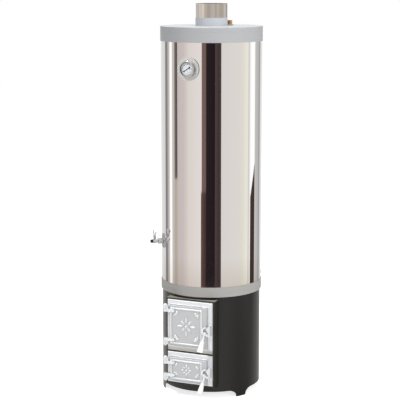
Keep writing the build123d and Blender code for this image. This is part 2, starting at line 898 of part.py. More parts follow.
# Cap: pressed lid welded on the shell, with holes for the flue and the water outlet
outlet_turn = math.radians(outlet_angle)
outlet_place = (
    outlet_distance * math.sin(outlet_turn),
    -outlet_distance * math.cos(outlet_turn),
)
outlet_socket_radius = half_inch_thread + running_gap + socket_wall
with BuildPart() as top_cap:
    with BuildSketch(Plane.XY.offset(cap_top - cap_skirt)):
        Circle(skirt_outer)
    extrude(amount=cap_skirt)
    fillet(top_cap.faces().sort_by(Axis.Z)[-1].edges(), cap_edge_fillet)
    chamfer(top_cap.faces().sort_by(Axis.Z)[0].edges(), joint_chamfer)
    with BuildSketch(Plane.XY.offset(cap_top - cap_skirt)):
        Circle(skirt_inner)
    extrude(amount=cap_skirt - cap_plate, mode=Mode.SUBTRACT)
    with BuildSketch(Plane.XY.offset(cap_top - cap_skirt)):
        Circle(flue_hole)
        with Locations(outlet_place):
            Circle(outlet_socket_radius + weld_gap)
    extrude(amount=cap_skirt, mode=Mode.SUBTRACT)
top_cap.part.label = "top_cap"
export_step(top_cap.part, "parts/top_cap.step")

# Flue: one steel tube from the firebox up to its widened end, which the chimney goes on
with BuildPart() as flue_tube:
    with BuildSketch(Plane.XY.offset(firebox_height)):
        ring(flue_radius, flue_radius - flue_wall)
    extrude(amount=flue_top - firebox_height)
    with BuildSketch(Plane.XY.offset(collar_top)):
        ring(spigot_radius, flue_radius - flue_wall)
    extrude(amount=spigot_length)
    with BuildSketch(Plane.XY.offset(collar_top + spigot_swell)):
        Circle(spigot_radius - flue_wall)
    extrude(amount=spigot_length, mode=Mode.SUBTRACT)
flue_tube.part.label = "flue_tube"
export_step(flue_tube.part, "parts/flue_tube.step")

# Painted collar round the flue, welded on the cap
with BuildPart() as flue_collar:
    with BuildSketch(Plane.XY.offset(cap_top)):
        ring(flue_hole + collar_wall, flue_hole)
    extrude(amount=collar_height)
flue_collar.part.label = "flue_collar"
export_step(flue_collar.part, "parts/flue_collar.step")

# Hot-water outlet: a steel socket in the cap, with a brass nipple screwed into it
with BuildPart() as outlet_socket:
    with BuildSketch(Plane.XY.offset(cap_top - outlet_socket_depth)):
        with Locations(outlet_place):
            ring(outlet_socket_radius, half_inch_thread + running_gap)
    extrude(amount=outlet_socket_depth + outlet_socket_rise)
outlet_socket.part.label = "outlet_socket"
export_step(outlet_socket.part, "parts/outlet_socket.step")

with BuildPart() as outlet_nipple:
    with BuildSketch(Plane.XY.offset(cap_top - outlet_socket_depth)):
        with Locations(outlet_place):
            ring(half_inch_thread, outlet_nipple_bore)
    extrude(amount=outlet_socket_depth + outlet_socket_rise + outlet_nipple_rise)
    with BuildSketch(Plane.XY.offset(cap_top + outlet_socket_rise)):
        with Locations(outlet_place):
            ring(half_inch_thread, half_inch_thread - outlet_groove_depth)
    extrude(amount=outlet_groove, mode=Mode.SUBTRACT)
outlet_nipple.part.label = "outlet_nipple"
export_step(outlet_nipple.part, "parts/outlet_nipple.step")

# Cold-water inlet: a threaded steel socket through the shell, low at the rear
with BuildPart() as inlet_socket:
    with BuildSketch(inlet.offset(tank_radius - inlet_root)):
        ring(inlet_radius, inlet_passage)
    extrude(amount=inlet_root + inlet_reach)
    with BuildSketch(inlet.offset(tank_radius + inlet_reach)):
        Circle(inlet_bore)
    extrude(amount=-inlet_thread, mode=Mode.SUBTRACT)
inlet_socket.part.label = "inlet_socket"
export_step(inlet_socket.part, "parts/inlet_socket.step")

# Stud at the rear for a stay to the wall
with BuildPart() as wall_stud:
    with BuildSketch(stud.offset(tank_radius - stud_foot)):
        Circle(stud_radius)
    extrude(amount=stud_foot + stud_reach)
    with BuildSketch(stud.offset(tank_radius - stud_foot)):
        Circle(stud_foot_radius)
    extrude(amount=2 * stud_foot)
    with BuildSketch(Plane.XY.offset(stud.origin.Z - 2 * stud_foot_radius)):
        Circle(tank_radius)
    extrude(amount=4 * stud_foot_radius, mode=Mode.SUBTRACT)
wall_stud.part.label = "wall_stud"
export_step(wall_stud.part, "parts/wall_stud.step")

# Thermometer, from the tank's wall outwards
plate_back = tank_radius + plate_standoff
case_back = plate_back + plate_thickness
case_front = case_back + case_depth
dial_back = case_back + dial_setback
dial_front = dial_back + dial_thickness
case_inner = case_radius - case_wall
glass_back = case_front - glass_setback - glass_thickness

with BuildPart() as thermometer_bush:
    with BuildSketch(thermometer.offset(plate_back - bush_length)):
        ring(bush_radius, half_inch_thread + running_gap)
    extrude(amount=bush_length)
thermometer_bush.part.label = "thermometer_bush"
export_step(thermometer_bush.part, "parts/thermometer_bush.step")

with BuildPart() as thermometer_plate:
    with BuildSketch(thermometer.offset(plate_back)):
        ring(plate_radius, half_inch_thread + weld_gap)
    extrude(amount=plate_thickness)
thermometer_plate.part.label = "thermometer_plate"
export_step(thermometer_plate.part, "parts/thermometer_plate.step")

with BuildPart() as thermometer_stem:
    with BuildSketch(thermometer.offset(case_back)):
        Circle(half_inch_thread)
    extrude(amount=-fitting_length)
    with BuildSketch(thermometer.offset(case_back - fitting_length)):
        Circle(probe_radius)
    extrude(amount=-probe_length)
thermometer_stem.part.label = "thermometer_stem"
export_step(thermometer_stem.part, "parts/thermometer_stem.step")

with BuildPart() as thermometer_case:
    with BuildSketch(thermometer.offset(case_back)):
        Circle(case_radius)
    extrude(amount=case_depth)
    with BuildSketch(thermometer.offset(case_back + case_wall)):
        Circle(case_inner)
    extrude(amount=case_depth, mode=Mode.SUBTRACT)
    with BuildSketch(thermometer.offset(case_back + case_wall)):
        ring(4 * spindle_radius, spindle_radius + running_gap)
    extrude(amount=dial_setback - case_wall)
thermometer_case.part.label = "thermometer_case"
export_step(thermometer_case.part, "parts/thermometer_case.step")

with BuildPart() as thermometer_dial:
    with BuildSketch(thermometer.offset(dial_back)):
        ring(case_inner - weld_gap, 2 * spindle_radius)
    extrude(amount=dial_thickness)
thermometer_dial.part.label = "thermometer_dial"
export_step(thermometer_dial.part, "parts/thermometer_dial.step")

with BuildPart() as thermometer_pointer:
    with BuildSketch(thermometer.offset(dial_front + pointer_gap)):
        turn = math.radians(pointer_rest_angle)
        tip = (pointer_length * math.cos(turn), pointer_length * math.sin(turn))
        tail = (-pointer_tail * math.cos(turn), -pointer_tail * math.sin(turn))
        blade_middle = ((tip[0] + tail[0]) / 2, (tip[1] + tail[1]) / 2)
        SlotCenterPoint(blade_middle, tip, pointer_width)
        with Locations(tail):
            Circle(counterweight_radius)
        Circle(2 * spindle_radius)
    extrude(amount=pointer_thickness)
    with BuildSketch(thermometer.offset(case_back + case_wall + moving_gap)):
        Circle(spindle_radius)
    extrude(amount=dial_front + pointer_gap - case_back - case_wall - moving_gap)
thermometer_pointer.part.label = "thermometer_pointer"
export_step(thermometer_pointer.part, "parts/thermometer_pointer.step")

with BuildPart() as thermometer_glass:
    with BuildSketch(thermometer.offset(glass_back)):
        Circle(case_inner - weld_gap)
    extrude(amount=glass_thickness)
thermometer_glass.part.label = "thermometer_glass"
export_step(thermometer_glass.part, "parts/thermometer_glass.step")

with BuildPart() as thermometer_bezel:
    with BuildSketch(thermometer.offset(case_front - bezel_skirt)):
        Circle(bezel_radius)
    extrude(amount=bezel_skirt + bezel_front)
    bezel_rim = thermometer_bezel.faces().sort_by(Axis(thermometer.origin, thermometer.z_dir))
    fillet(bezel_rim[-1].edges(), bezel_front / 2)
    with BuildSketch(thermometer.offset(case_front - bezel_skirt)):
        Circle(case_radius + weld_gap)
    extrude(amount=bezel_skirt, mode=Mode.SUBTRACT)
    with BuildSketch(thermometer.offset(case_front - bezel_skirt)):
        Circle(bezel_opening)
    extrude(amount=bezel_skirt + bezel_front, mode=Mode.SUBTRACT)
thermometer_bezel.part.label = "thermometer_bezel"
export_step(thermometer_bezel.part, "parts/thermometer_bezel.step")

# Ball tap, from the tank's wall outwards
tap_z = tap.origin.Z
nut_back = tank_radius + nut_start
nut_front = nut_back + nut_length
flange_front = nut_front - nut_lip - weld_gap
body_back = flange_front - body_flange
nipple_end = body_back - sheet_gap
body_front = body_back + body_length
stem_distance = tank_radius + stem_place
stem_line = tap.offset(stem_distance)
stem_point = stem_line.origin
chamber_half = ball_radius + seat_thickness / 2
stem_bottom = tap_z + ball_radius - tang_depth
gland_bottom = tap_z + neck_height
handle_bottom = gland_bottom + gland_height + moving_gap
handle_hub_top = handle_bottom + handle_hub_height

# Curved patch that spreads the load on the shell round the tap
with BuildPart() as tap_patch:
    with BuildSketch(tap.offset(tank_radius / 2)):
        ring(patch_radius, nipple_radius + weld_gap)
    extrude(amount=tank_radius)
    with BuildSketch(Plane.XY.offset(tap_z - 2 * patch_radius)):
        ring(tank_radius + weld_gap + patch_thickness, tank_radius + weld_gap)
    extrude(amount=4 * patch_radius, mode=Mode.INTERSECT)
tap_patch.part.label = "tap_patch"
export_step(tap_patch.part, "parts/tap_patch.step")

with BuildPart() as tap_nipple:
    with BuildSketch(tap.offset(tank_radius - nipple_root)):
        ring(nipple_radius, nipple_bore)
    extrude(amount=nipple_root + nipple_end - tank_radius)
tap_nipple.part.label = "tap_nipple"
export_step(tap_nipple.part, "parts/tap_nipple.step")

with BuildPart() as tap_nut:
    with BuildSketch(tap.offset(nut_back)):
        RegularPolygon(nut_flats / 2, 6, major_radius=False)
        Circle(body_radius + weld_gap, mode=Mode.SUBTRACT)
    extrude(amount=nut_length)
    with BuildSketch(tap.offset(nut_back)):
        Circle(nipple_radius + running_gap)
    extrude(amount=nut_length - nut_lip, mode=Mode.SUBTRACT)
tap_nut.part.label = "tap_nut"
export_step(tap_nut.part, "parts/tap_nut.step")

with BuildPart() as tap_body:
    with BuildSketch(tap.offset(body_back)):
        Circle(body_radius)
    extrude(amount=body_length)
    with BuildSketch(tap.offset(body_back)):
        Circle(nipple_radius)
    extrude(amount=body_flange)
    with BuildSketch(tap.offset(stem_distance - chamber_length / 2)):
        Circle(chamber_radius)
    extrude(amount=chamber_length)
    with BuildSketch(Plane.XY.offset(tap_z)):
        with Locations((stem_point.X, stem_point.Y)):
            Circle(neck_radius)
    extrude(amount=neck_height)
    with BuildSketch(tap.offset(body_back)):
        Circle(tap_bore)
    extrude(amount=body_length, mode=Mode.SUBTRACT)
    with BuildSketch(tap.offset(body_front)):
        Circle(outlet_bore)
    extrude(amount=-outlet_bore_depth, mode=Mode.SUBTRACT)
    with BuildSketch(tap.offset(stem_distance - chamber_half)):
        Circle(ball_radius + running_gap)
    extrude(amount=2 * chamber_half, mode=Mode.SUBTRACT)
    with BuildSketch(Plane.XY.offset(tap_z)):
        with Locations((stem_point.X, stem_point.Y)):
            Circle(tap_stem_radius + running_gap)
    extrude(amount=neck_height, mode=Mode.SUBTRACT)
tap_body.part.label = "tap_body"
export_step(tap_body.part, "parts/tap_body.step")

# Two soft rings that the ball seals on
with BuildPart() as tap_seats:
    for way in (-1, 1):
        with BuildSketch(tap.offset(stem_distance + way * chamber_half)):
            ring(ball_radius, tap_bore)
        extrude(amount=-way * seat_thickness)
    with Locations(stem_point):
        Sphere(ball_radius + running_gap, mode=Mode.SUBTRACT)
tap_seats.part.label = "tap_seats"
export_step(tap_seats.part, "parts/tap_seats.step")

# Ball, shut: its bore lies across the flow, and its slot takes the stem's tang
across_flow = Plane(origin=stem_point, x_dir=(0, 0, 1), z_dir=tap.x_dir)
with BuildPart() as tap_ball:
    with Locations(stem_point):
        Sphere(ball_radius)
    with BuildSketch(across_flow):
        Circle(tap_bore - moving_gap)
    extrude(amount=ball_radius, both=True, mode=Mode.SUBTRACT)
    with BuildSketch(Plane(origin=(stem_point.X, stem_point.Y, stem_bottom), x_dir=tap.x_dir)):
        Rectangle(3 * ball_radius, tang_width + 2 * running_gap)
    extrude(amount=ball_radius, mode=Mode.SUBTRACT)
tap_ball.part.label = "tap_ball"
export_step(tap_ball.part, "parts/tap_ball.step")

with BuildPart() as tap_stem:
    with BuildSketch(Plane.XY.offset(tap_z + ball_radius + running_gap)):
        with Locations((stem_point.X, stem_point.Y)):
            Circle(tap_stem_radius)
    extrude(amount=handle_hub_top + handle_nut_height - tap_z - ball_radius - running_gap)
    with BuildSketch(Plane(origin=(stem_point.X, stem_point.Y, stem_bottom), x_dir=tap.x_dir)):
        Rectangle(2 * tap_stem_radius - tang_depth, tang_width)
    extrude(amount=tang_depth + 2 * running_gap)
tap_stem.part.label = "tap_stem"
export_step(tap_stem.part, "parts/tap_stem.step")

with BuildPart() as tap_gland:
    with BuildSketch(Plane.XY.offset(gland_bottom)):
        with Locations((stem_point.X, stem_point.Y)):
            RegularPolygon(gland_flats / 2, 6, major_radius=False, rotation=tap_angle)
            Circle(tap_stem_radius + running_gap, mode=Mode.SUBTRACT)
    extrude(amount=gland_height)
tap_gland.part.label = "tap_gland"
export_step(tap_gland.part, "parts/tap_gland.step")

# Butterfly handle, across the flow when shut
with BuildPart() as tap_handle:
    with BuildSketch(stem_line.offset(-handle_plate / 2)):
        for side in (-1, 1):
            foot = handle_bottom - tap_z
            Polygon(
                (0, foot),
                (side * handle_hub_radius, foot),
                (side * wing_span, foot + wing_rise * 0.7),
                (side * wing_span, foot + wing_rise),
                (side * (wing_span - wing_width), foot + wing_rise),
                (side * handle_hub_radius, foot + handle_hub_height),
                (0, foot + handle_hub_height),
                align=None,
            )
    extrude(amount=handle_plate)
    with BuildSketch(stem_line):
        with Locations((0, handle_bottom - tap_z + handle_hub_height - handle_plate / 2)):
            Rectangle(handle_plate, handle_plate)
    extrude(amount=handle_hub_radius + handle_tab)
    with BuildSketch(Plane.XY.offset(handle_bottom)):
        with Locations((stem_point.X, stem_point.Y)):
            Circle(handle_hub_radius)
    extrude(amount=handle_hub_height)
    with BuildSketch(Plane.XY.offset(handle_bottom)):
        with Locations((stem_point.X, stem_point.Y)):
            Circle(tap_stem_radius + press_gap)
    extrude(amount=handle_hub_height, mode=Mode.SUBTRACT)
tap_handle.part.label = "tap_handle"
export_step(tap_handle.part, "parts/tap_handle.step")

with BuildPart() as tap_handle_nut:
    with BuildSketch(Plane.XY.offset(handle_hub_top)):
        with Locations((stem_point.X, stem_point.Y)):
            RegularPolygon(handle_nut_flats / 2, 6, major_radius=False, rotation=tap_angle)
            Circle(tap_stem_radius + press_gap, mode=Mode.SUBTRACT)
    extrude(amount=handle_nut_height)
tap_handle_nut.part.label = "tap_handle_nut"
export_step(tap_handle_nut.part, "parts/tap_handle_nut.step")
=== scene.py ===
import math
import bmesh
import bpy
from mathutils import Matrix, Vector


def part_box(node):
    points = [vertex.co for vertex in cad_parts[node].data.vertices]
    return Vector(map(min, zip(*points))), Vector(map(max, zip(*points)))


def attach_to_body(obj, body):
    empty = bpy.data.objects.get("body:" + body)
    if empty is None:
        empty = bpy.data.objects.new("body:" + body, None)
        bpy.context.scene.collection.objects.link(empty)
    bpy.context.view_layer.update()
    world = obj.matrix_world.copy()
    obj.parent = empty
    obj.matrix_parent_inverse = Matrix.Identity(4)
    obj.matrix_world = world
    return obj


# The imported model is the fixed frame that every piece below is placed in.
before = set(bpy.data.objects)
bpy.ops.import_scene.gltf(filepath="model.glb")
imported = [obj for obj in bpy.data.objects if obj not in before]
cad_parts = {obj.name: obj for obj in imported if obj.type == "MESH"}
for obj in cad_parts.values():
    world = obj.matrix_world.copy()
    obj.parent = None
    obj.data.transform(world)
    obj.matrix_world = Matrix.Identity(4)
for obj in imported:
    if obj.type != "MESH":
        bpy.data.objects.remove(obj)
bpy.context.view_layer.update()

# Camera: it stands to the right of the doors, well above the column's middle, and looks down
# a little. Its place was fitted to the tank's rims and edges in the photograph. The plain
# display transform shows each colour about as it is written.
stand_turn = math.radians(22.965)
stand_distance = 4.8895
stand_height = 1.561
view_turn = math.radians(23.47)
view_drop = math.radians(8.902)
ahead = Vector((
    -math.sin(view_turn) * math.cos(view_drop),
    math.cos(view_turn) * math.cos(view_drop),
    -math.sin(view_drop),
))
lens = bpy.data.cameras.new("camera")
lens.sensor_width = 36.0
lens.lens = 117.04
lens.shift_y = -0.045
camera = bpy.data.objects.new("camera", lens)
camera.location = (
    stand_distance * math.sin(stand_turn),
    -stand_distance * math.cos(stand_turn),
    stand_height,
)
camera.rotation_euler = ahead.to_track_quat("-Z", "Y").to_euler()
bpy.context.collection.objects.link(camera)
bpy.context.scene.camera = camera
bpy.context.scene.view_settings.view_transform = "Standard"


# Studio's surroundings: white to the camera and in metal and glass, as the photograph's own
# ground is, and a much softer white as light, so that the lamps shape the paint.
def linear(code):
    """A colour written as sRGB hex, as the linear values that shaders use."""
    parts = [int(code[i:i + 2], 16) / 255 for i in (0, 2, 4)]
    return [((p + 0.055) / 1.055) ** 2.4 if p > 0.04045 else p / 12.92 for p in parts] + [1.0]


def add(tree, kind, settings, links=None):
    """Adds a node, sets its sockets or properties, and links other nodes' outputs to it."""
    node = tree.nodes.new(kind)
    for key, value in settings.items():
        if isinstance(key, int) or key in node.inputs:
            node.inputs[key].default_value = value
        else:
            setattr(node, key, value)
    for key, output in (links or {}).items():
        tree.links.new(output, node.inputs[key])
    return node


soft_light = 0.3
world = bpy.data.worlds.new("studio")
world.use_nodes = True
bpy.context.scene.world = world
sky = world.node_tree
sky.nodes.clear()
rays = add(sky, "ShaderNodeLightPath", {})
mirror = add(sky, "ShaderNodeMath", {"operation": "MAXIMUM"}, {
    0: rays.outputs["Is Glossy Ray"],
    1: rays.outputs["Is Transmission Ray"],
})
seen = add(sky, "ShaderNodeMath", {"operation": "MAXIMUM"}, {
    0: rays.outputs["Is Camera Ray"],
    1: mirror.outputs[0],
})
level = add(sky, "ShaderNodeMapRange", {"To Min": soft_light, "To Max": 1.0}, {
    "Value": seen.outputs[0],
})
white = add(sky, "ShaderNodeBackground", {"Color": linear("FFFFFF")}, {"Strength": level.outputs[0]})
add(sky, "ShaderNodeOutputWorld", {}, {"Surface": white.outputs[0]})

# Lamps: a small key from the upper left that shapes the ironwork, a top light, and a broad
# fill from the right. None of them lights the polished tank, which only shows the studio's
# cards, and the key leaves out the tank's painted ends, which it would burn white.
lit = bpy.data.collections.new("lit_by_all")
lit_by_key = bpy.data.collections.new("lit_by_key")
painted_ends = ("top_band", "top_cap", "bottom_band", "tank_bottom", "flue_collar")
for node_name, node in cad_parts.items():
    if node_name == "tank_shell":
        continue
    lit.objects.link(node)
    if node_name not in painted_ends:
        lit_by_key.objects.link(node)


def lamp(name, place, target, size, power, gleam, receivers):
    """A square area lamp that points at a target and lights a collection of receivers."""
    light = bpy.data.lights.new(name, "AREA")
    light.size = size
    light.energy = power
    body = bpy.data.objects.new(name, light)
    body.location = place
    body.rotation_euler = (Vector(target) - Vector(place)).to_track_quat("-Z", "Y").to_euler()
    body.visible_glossy = gleam
    body.light_linking.receiver_collection = receivers
    bpy.context.collection.objects.link(body)


lamp(
    "key", place=(-1.7, -2.6, 3.9), target=(0.0, -0.1, 0.6),
    size=0.6, power=95.0, gleam=True, receivers=lit_by_key,
)
lamp(
    "top", place=(0.0, -0.3, 4.2), target=(0.0, 0.0, 1.0),
    size=1.5, power=90.0, gleam=False, receivers=lit,
)
lamp(
    "fill", place=(3.2, -2.0, 1.6), target=(0.0, 0.0, 0.7),
    size=1.6, power=52.0, gleam=False, receivers=lit,
)


# Floor: a wide, pale, matt disc that keeps the column's soft shadow. A glow that only the
# camera sees lifts the rest of it to white, so that it has no far edge.
def bare_material(name):
    """A new material with an empty node tree."""
    made = bpy.data.materials.new(name)
    made.use_nodes = True
    made.node_tree.nodes.clear()
    return made


def place_mesh(name, bm, made):
    """Turns a bmesh into an object of that name that wears one material."""
    mesh = bpy.data.meshes.new(name)
    bm.to_mesh(mesh)
    bm.free()
    mesh.materials.append(made)
    body = bpy.data.objects.new(name, mesh)
    bpy.context.collection.objects.link(body)
    return body


floor_radius = 14.0
floor_glow = 0.76
floor_paint = bare_material("floor_paint")
tree = floor_paint.node_tree
matt = add(tree, "ShaderNodeBsdfDiffuse", {"Color": linear("F4F4F4")})
rays = add(tree, "ShaderNodeLightPath", {})
level = add(tree, "ShaderNodeMath", {"operation": "MULTIPLY", 1: floor_glow}, {
    0: rays.outputs["Is Camera Ray"],
})
glow = add(tree, "ShaderNodeEmission", {"Color": linear("FFFFFF")}, {"Strength": level.outputs[0]})
both = add(tree, "ShaderNodeAddShader", {}, {0: matt.outputs[0], 1: glow.outputs[0]})
add(tree, "ShaderNodeOutputMaterial", {}, {"Surface": both.outputs[0]})
bm = bmesh.new()
bmesh.ops.create_circle(bm, cap_ends=True, segments=96, radius=floor_radius)
floor = place_mesh("floor", bm, floor_paint)
floor.visible_glossy = False
lit.objects.link(floor)
lit_by_key.objects.link(floor)

# Studio cards: tall curved strips round the column that glow and that only mirrors show. They
# stand where the photographer's room stood, so that the tank shows the same bands. Angles
# are in degrees to the right of the camera, and heights in metres.
card_distance = 25.0
card_zero = 23.0
skirting = -5.7
ceiling = 38.0
card_paint = bare_material("card_paint")
tree = card_paint.node_tree
band = add(tree, "ShaderNodeAttribute", {"attribute_name": "glow"})
glow = add(tree, "ShaderNodeEmission", {"Strength": 1.1}, {"Color": band.outputs["Color"]})
add(tree, "ShaderNodeOutputMaterial", {}, {"Surface": glow.outputs[0]})
card_paint.cycles.emission_sampling = "NONE"


def card(name, start, end, first, last, low=skirting, high=ceiling, low_end=None, high_end=None, fade=None):
    """A strip from one angle to another that blends two colours along its way.

    Its edges run level unless their heights at the end are given too. If a third colour is
    given, the strip fades to it at its foot."""
    if low_end is None:
        low_end = low
    if high_end is None:
        high_end = high
    colours = (linear(first), linear(last))
    turn = math.radians(card_zero + start)
    bm = bmesh.new()
    shade = bm.verts.layers.float_color.new("glow")
    corner = (card_distance * math.sin(turn), -card_distance * math.cos(turn))
    foot = bm.verts.new((*corner, 0.0))
    head = bm.verts.new((*corner, 1.0))
    edge = bm.edges.new((foot, head))
    bmesh.ops.spin(
        bm, geom=[foot, head, edge], axis=(0, 0, 1), cent=(0, 0, 0),
        angle=math.radians(end - start), steps=max(2, int(end - start)), use_duplicate=False,
    )
    for vert in bm.verts:
        at_foot = vert.co.z < 0.5
        angle = math.degrees(math.atan2(vert.co.x, -vert.co.y)) - card_zero
        along = ((angle - start + 180.0) % 360.0 - 180.0) / (end - start)
        along = min(max(along, 0.0), 1.0)
        vert[shade] = [a + (b - a) * along for a, b in zip(*colours)]
        if at_foot and fade:
            vert[shade] = linear(fade)
        if at_foot:
            vert.co.z = low + (low_end - low) * along
        else:
            vert.co.z = high + (high_end - high) * along
    body = place_mesh(name, bm, card_paint)
    for kind in ("camera", "diffuse", "shadow", "transmission", "volume_scatter"):
        setattr(body, "visible_" + kind, False)


# Cards to the left of the camera, from behind the column round to the front: pale walls, a
# bright window, and a dark post whose foot is hidden by something pale.
post_foot = -3.0
threshold = -3.3
card("card_rear_left", -180, -130, "E7E7E7", "D2D2D2")
card("card_far_left", -130, -119.5, "7D7D7D", "8A8584")
card("card_left_beige", -119.5, -114, "B0A8A5", "B8B0AC")
card("card_left_pale", -114, -109.5, "C4C0BC", "D8D4D0")
card("card_left_window", -109.5, -101, "FFFFFF", "FFFFFF")
card("card_left_frame", -101, -92.5, "C8C5C2", "BCB6B2")
card("card_left_post", -92.5, -83.5, "776D69", "504944", low=post_foot)
card("card_left_post_foot", -92.5, -83.5, "B4A89E", "B8AC9E", high=post_foot)
card("card_left_wall", -83.5, -69, "C3B9B7", "C8BDBB")
card("card_left_wall_pale", -69, -55, "C8BDBB", "D6CDC8")
card("card_front_wall", -55, -23.5, "D9D2CC", "E0DAD7")
card("card_front_wall_edge", -23.5, -22, "E0DAD7", "E0DAD7", low=threshold)

# Cards behind the camera: the dark doorway that shows as the tank's wide dark band, with
# the wall that stands to its right.
card("card_doorway_left", -22, -12, "74625C", "6A5650", low=threshold)
card("card_doorway_left_foot", -23.5, -12, "5E4A44", "3E302D", high=threshold)
card("card_doorway_middle", -12, 8, "2A2024", "221A1E")
card("card_doorway_right", 8, 15, "4C4040", "433838")
card("card_doorway_edge", 15, 22, "3A3030", "4C4242")
card("card_front_wall_right", 22, 67, "D8D3D0", "DBD7D2")

# Cards to the right of the camera, round to behind the column: more pale wall, and a window
# over a dark cabinet whose top edge slopes as it shows in the tank.
cabinet_near = -3.43
cabinet_far = -2.64
card("card_right_wall", 67, 80, "DBD7D2", "E0DDD0")
card("card_right_cream", 80, 92, "E4E2D6", "E8E6DA")
card("card_right_edge", 92, 97, "CDCBC8", "D4D2D0")
card("card_right_pale", 97, 100.5, "EAE8E7", "F2F1F0")
card("card_right_window", 100.5, 117, "FFFFFF", "FFFFFF", low=cabinet_near, low_end=cabinet_far)
card("card_right_cabinet", 100.5, 117, "42342F", "42342F", high=cabinet_near, high_end=cabinet_far)
card("card_right_grey", 117, 136, "C4C3C2", "B2B1B2")
card("card_far_right", 136, 146, "9D9C9C", "A4A3A3")
card("card_rear_right", 146, 180, "DADADA", "E7E7E7")

# Cards low down: the room's floor, which fades away from the column. It shows in the
# firebox's satin paint, and in the tank when it is seen from higher up.
floor_fade = -16.0
floor_deep = -60.0
floor_shade = "BDB8B2"
for name, start, end, first, last in (
    ("card_floor_left", -180, -110, "D2CCC2", "F8F6F2"),
    ("card_floor_front", -110, 20, "F8F6F2", "F4F4F4"),
    ("card_floor_fading", 20, 66, "F4F4F4", "6F6F6F"),
    ("card_floor_dark", 66, 92, "6F6F6F", "6F6F6F"),
    ("card_floor_right", 92, 118, "6F6F6F", "B4B4B4"),
    ("card_floor_rear", 118, 180, "B4B4B4", "D2CCC2"),
):
    card(name, start, end, first, last, low=floor_fade, high=skirting, fade=floor_shade)
card("card_floor_deep", -180, 180, floor_shade, floor_shade, low=floor_deep, high=floor_fade)


# Firebox: a rolled and welded steel shell, sprayed with black heat-resistant paint that gives
# broad, soft gleams, and dull with soot inside. The spray's texture, and the other grains
# below, are drawn coarser than they are, so that they show.
def painted(name, colour, roughness, metallic=0.0, grain=0.0, grain_mm=1.67):
    """A finish with one colour, and bumps of a real width if grain is given, and its shader."""
    made = bare_material(name)
    tree = made.node_tree
    shader = add(tree, "ShaderNodeBsdfPrincipled", {
        "Base Color": linear(colour),
        "Roughness": roughness,
        "Metallic": metallic,
    })
    add(tree, "ShaderNodeOutputMaterial", {}, {"Surface": shader.outputs[0]})
    if grain:
        where = add(tree, "ShaderNodeTexCoord", {})
        noise = add(tree, "ShaderNodeTexNoise", {"Scale": 1000.0 / grain_mm, "Detail": 3.0}, {
            "Vector": where.outputs["Object"],
        })
        bump = add(tree, "ShaderNodeBump", {"Strength": grain, "Distance": 0.0004}, {
            "Height": noise.outputs[0],
        })
        tree.links.new(bump.outputs[0], shader.inputs["Normal"])
    return made, shader


def dress(made, *nodes):
    """Gives a finish to CAD nodes."""
    for name in nodes:
        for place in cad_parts[name].material_slots:
            place.link = "OBJECT"
            place.material = made


def cover(made, shader, share, colour):
    """Lays a colour, as a hex code or a node's output, over a finish, as far as a share says."""
    tree = made.node_tree
    base = shader.inputs["Base Color"]
    mix = add(tree, "ShaderNodeMix", {"data_type": "RGBA", 6: base.default_value}, {0: share.outputs[0]})
    if base.is_linked:
        tree.links.new(base.links[0].from_socket, mix.inputs[6])
    if isinstance(colour, str):
        mix.inputs[7].default_value = linear(colour)
    else:
        tree.links.new(colour, mix.inputs[7])
    tree.links.new(mix.outputs[2], base)


def between(made, along, start, full, most=1.0):
    """A share that grows from nothing at one place to its most at another, in metres.

    The place is "Y" or "Z" in the column's frame, or the "reach" from the column's axis."""
    tree = made.node_tree
    where = add(tree, "ShaderNodeTexCoord", {})
    if along == "reach":
        flat = add(tree, "ShaderNodeVectorMath", {"operation": "MULTIPLY", 1: (1.0, 1.0, 0.0)}, {
            0: where.outputs["Object"],
        })
        length = add(tree, "ShaderNodeVectorMath", {"operation": "LENGTH"}, {0: flat.outputs[0]})
        place = length.outputs["Value"]
    else:
        parts = add(tree, "ShaderNodeSeparateXYZ", {}, {"Vector": where.outputs["Object"]})
        place = parts.outputs[along]
    return add(tree, "ShaderNodeMapRange", {
        "From Min": start, "From Max": full, "To Min": 0.0, "To Max": most,
    }, {"Value": place})


def soot_inside(made, shader, radius):
    """Makes a finish black and dull where it is nearer to the column's axis than a radius."""
    share = between(made, "reach", radius + 0.0002, radius)
    cover(made, shader, share, "0F0D0C")
    clean = shader.inputs["Roughness"].default_value
    dull = add(made.node_tree, "ShaderNodeMapRange", {"To Min": clean, "To Max": 0.95}, {
        "Value": share.outputs[0],
    })
    made.node_tree.links.new(dull.outputs[0], shader.inputs["Roughness"])


firebox_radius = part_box("firebox_shell")[1][0]
fire_side = firebox_radius - 0.0038
black_paint, black_shader = painted("black_paint", "191817", 0.25, grain=0.1, grain_mm=1.11)
soot_inside(black_paint, black_shader, fire_side)
dress(black_paint, "firebox_shell")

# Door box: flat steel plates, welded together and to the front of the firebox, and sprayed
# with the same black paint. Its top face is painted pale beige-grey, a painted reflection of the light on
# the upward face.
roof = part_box("portal_roof")[1][2]
box_paint, box_shader = painted("box_paint", "262521", 0.3, grain=0.1, grain_mm=1.11)
soot_inside(box_paint, box_shader, fire_side)
# Painted reflection: pale beige-grey over the top face of the box.
cover(box_paint, box_shader, between(box_paint, "Z", roof - 0.0004, roof - 0.0001, 0.8), "A6A294")
dress(box_paint, "door_portal", "portal_cheeks", "portal_roof", "portal_sill")

# Floor of the ash chamber, and the hearth plate over it: bare steel plates that are welded
# into the shell. Heat and ash have left them brown-black and quite dull.
ash_plate, _ = painted("ash_plate", "2B2826", 0.85, grain=0.3, grain_mm=3.85)
dress(ash_plate, "firebox_floor", "hearth_plate")

